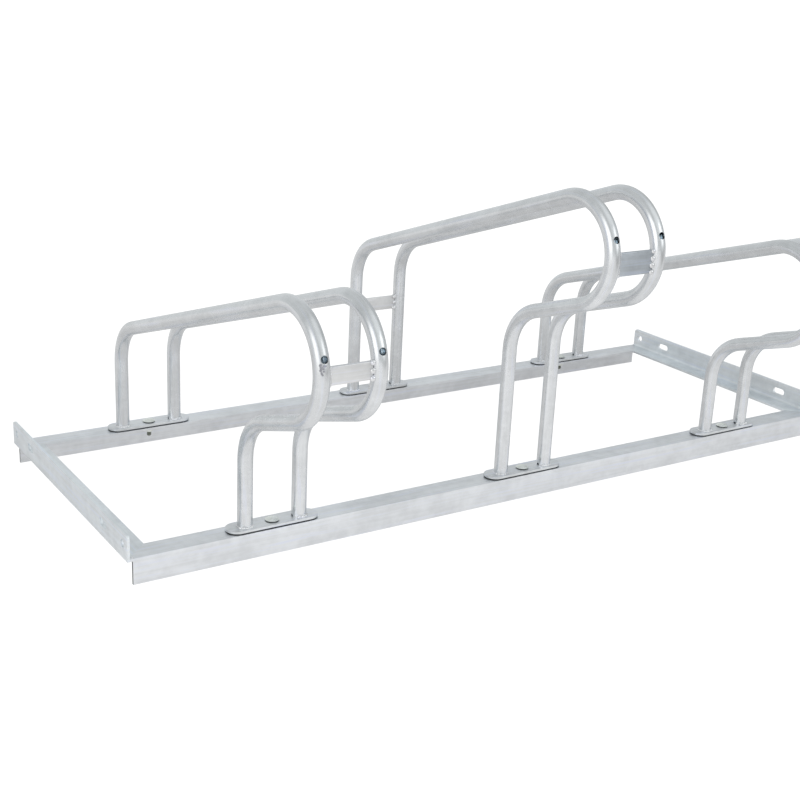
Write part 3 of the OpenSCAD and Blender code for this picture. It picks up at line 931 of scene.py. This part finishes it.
def set_of_six(single, name, node):
    """Copies a fastener to all six base plates and joins the copies to one piece."""
    copies = [twin(single, name, (x * MM, y * MM, 0))
              for x, hoop in HOOPS.values() for y in (FRONT_LEG, REAR_LEG)]
    lone(copies[0])
    for copy in copies:
        copy.select_set(True)
    bpy.ops.object.join()
    bpy.data.objects.remove(single)
    copies[0].name = copies[0].data.name = name
    hand_over(copies[0], zinc_bolt, "zinc_fastener", node)
    return copies[0]


bolts = set_of_six(bolt, "domed_bolts", "hoop_bolts")
# The faces just under the dome's rim are made near-black: painted shade.
refinish(bolts, painted_shade_finish, lambda face: SEAT < face.center.z / MM < SEAT + SHADE_UP)
# The bolts' threaded ends below the nuts get the dark olive finish.
refinish(bolts, dark_olive_bolt_ends, lambda face: face.center.z / MM < NUT_Z)
set_of_six(ring, "plain_washers", "hoop_washers")
set_of_six(nut, "hexagon_nuts", "hoop_nuts")

# %% [markdown]
# ## Welds
# The welds were laid before the rack was plated, so they are zinc too, but
# lumpy and glossy. A bead is a row of small puddles that ran into each other. A
# curve with a round section would look like a string of wire. Here flattened
# balls of uneven size are laid in a row, fused into one skin by a fine remesh
# and smoothed, which keeps each puddle readable. In front, at a bar's right end,
# the weld was laid in a few big puddles, and at its other edges in an even seam.
# The sizes vary by a seeded draw, so the result is the same each time.

# %% Puddles
dice = random.Random(7)
bpy.ops.mesh.primitive_uv_sphere_add(segments=14, ring_count=9, radius=MM)
ball = settle(bpy.context.object, "puddle")


def puddle(place, size, turn=0.0):
    """One puddle at a place, with its half sizes in millimetres, turned about the upright axis."""
    lump = twin(ball, "puddle")
    shape = Matrix.Rotation(turn, 4, "Z") @ Matrix.Diagonal((*size, 1))
    lump.data.transform(Matrix.Translation(Vector(place) * MM) @ shape)
    return lump


def scaled(shape, big):
    """Half sizes or steps, each times the same number."""
    return tuple(side * big for side in shape)


def fuse(name, lumps, material, slot, voxel=0.4, calm=2):
    """Runs puddles together into one skin."""
    lone(lumps[0])
    for one in lumps:
        one.select_set(True)
    bpy.ops.object.join()
    piece = bpy.context.object
    piece.name = piece.data.name = name
    apply(piece, "REMESH", "skin", mode="VOXEL", voxel_size=voxel * MM)
    apply(piece, "SMOOTH", "calm", factor=0.5, iterations=calm)
    lone(piece)
    bpy.ops.object.shade_smooth()
    hand_over(piece, material, slot)


# %% Beads round the feet and at the bars
FOOT_SHAPE, FRONT_SHAPE, BAR_SHAPE = (1.5, 1.6, 1.7), (1.7, 2.0, 1.9), (1.0, 0.8, 0.95)
FOOT_PUDDLES, NOTCH_HALF, SKIPPED = 30, 24, 0.16  # count, half the open angle, share left out
FRONT_PUDDLES = (-2.05, -1.55, -0.95)  # ways of three bigger ones in front, in radians
# Puddle size, distance from one to the next, least share of the size, and place past the bar's end
BIG_PUDDLES, EVEN_SEAM = (3.5, 6.4, 0.8, -0.6), (1.9, 2.1, 0.93, 0.3)


def foot_bead(x, y, side):
    """Round a leg's foot, open where the drain notch is."""
    centre = Vector((x + side * half_spread(y), y, SEAT))
    first = (math.pi if side > 0 else 0.0) + math.radians(NOTCH_HALF)
    whole = math.radians(360 - 2 * NOTCH_HALF)
    lumps = []
    for k in range(FOOT_PUDDLES):
        angle = first + whole * k / (FOOT_PUDDLES - 1)
        if dice.random() < SKIPPED:
            continue
        big = dice.uniform(0.5, 0.95)
        r = TUBE_D / 2 + dice.uniform(-0.2, 0.4)
        place = centre + Vector((r * math.cos(angle), r * math.sin(angle), 0))
        lumps.append(puddle(place, scaled(FOOT_SHAPE, big), angle))
    r = TUBE_D / 2 + 0.5
    for angle in FRONT_PUDDLES:
        turned = angle + dice.uniform(-0.15, 0.15)
        big = dice.uniform(0.8, 1.25)
        place = centre + Vector((r * math.cos(turned), r * math.sin(turned), 0.2))
        lumps.append(puddle(place, scaled(FRONT_SHAPE, big), turned))
    return lumps


def bar_beads(x, y, z, width):
    """Upright welds where a bar's ends meet the tubes."""
    lumps = []
    end = half_spread(y) - TUBE_D / 2
    for side in (-1, 1):
        for face in (-1, 1):
            size, step, least, past = BIG_PUDDLES if side > 0 and face < 0 else EVEN_SEAM
            tall = width / 2 - 0.4 * size
            count = max(3, round(width / step))
            for k in range(count):
                big = size * dice.uniform(least, 1.1)
                aside = end + past + dice.uniform(0, 0.6)
                out = BAR_T / 2 + dice.uniform(0, 0.2)
                place = (x + side * aside, y + face * out, z - tall + 2 * tall * k / (count - 1))
                lumps.append(puddle(place, scaled(BAR_SHAPE, big)))
    return lumps


for hoop_name, (x, hoop) in HOOPS.items():
    lumps = []
    for y in (FRONT_LEG, REAR_LEG):
        for side in (-1, 1):
            lumps += foot_bead(x, y, side)
    for node, place in BARS.items():
        if node.startswith(hoop_name):
            lumps += bar_beads(*place)
    fuse(hoop_name + "_welds", lumps, zinc_weld, "galvanised_tube")

# %% [markdown]
# ## The frame's corners, and a run of zinc
# The four angles are welded at their mitres and ground flush on top, so a
# little of each weld is left only at the outer corner, between the rail and the
# end angle's upstand. Below the first vent some zinc ran out of the tube and
# set as a dull, rippled patch. It is made like a weld, from puddles that are
# pressed flat against the tube.

# %% Corner welds and the zinc run
CORNER_PUDDLES, CORNER_IN, CORNER_BACK, CORNER_Z = 5, 4.2, 1.4, 28.0
CORNER_STEP, CORNER_SHAPE = (0.5, 0.3, 0.5), (1.5, 1.1, 1.3)
DRIPS, DRIP_FROM, DRIP_STEP = 9, -4.4, 1.0  # count, and degrees round the loop from the vent
DRIP_ASIDE, DRIP_SUNK, DRIP_IN, DRIP_LESS = -2.3, 0.35, 0.1, 0.04  # each is smaller by DRIP_LESS
DRIP_SHAPE, DRIP_THICK = (1.2, 0.85), 0.7

corners = []
for end in (-1, 1):
    for face, way in ((FRONT_FACE, 1), (FRONT_FACE + FRAME_DEPTH, -1)):
        for k in range(CORNER_PUDDLES):
            inwards, behind, up = scaled(CORNER_STEP, k)
            place = (end * (HALF_FRAME - CORNER_IN - inwards), face + way * (CORNER_BACK + behind),
                     CORNER_Z + up)
            wide, thick, tall = CORNER_SHAPE
            wide, tall = wide * dice.uniform(0.7, 1.1), tall * dice.uniform(0.7, 1.1)
            corners.append(puddle(place, (wide, thick, tall)))
fuse("frame_corner_welds", corners, zinc_weld, "galvanised_angle")

drips = []
for k in range(DRIPS):
    turn = DRIP_FROM - DRIP_STEP * k
    aside = DRIP_ASIDE + dice.uniform(-2.0, 2.0)
    spot = vent_spot(LOW, BEND + TUBE_D / 2 - DRIP_SUNK, turn)
    place = plane_point(-PITCH, -1, *spot) / MM
    place.x += aside
    place.y += DRIP_IN + aside ** 2 / TUBE_D
    wide, tall = scaled(DRIP_SHAPE, dice.uniform(1.5, 2.2) * (1 - DRIP_LESS * k))
    drips.append(puddle(place, (wide, DRIP_THICK, tall)))
fuse("left_hoop_zinc_run", drips, zinc_run, "galvanised_tube", 0.25, 1)
bpy.data.objects.remove(ball)
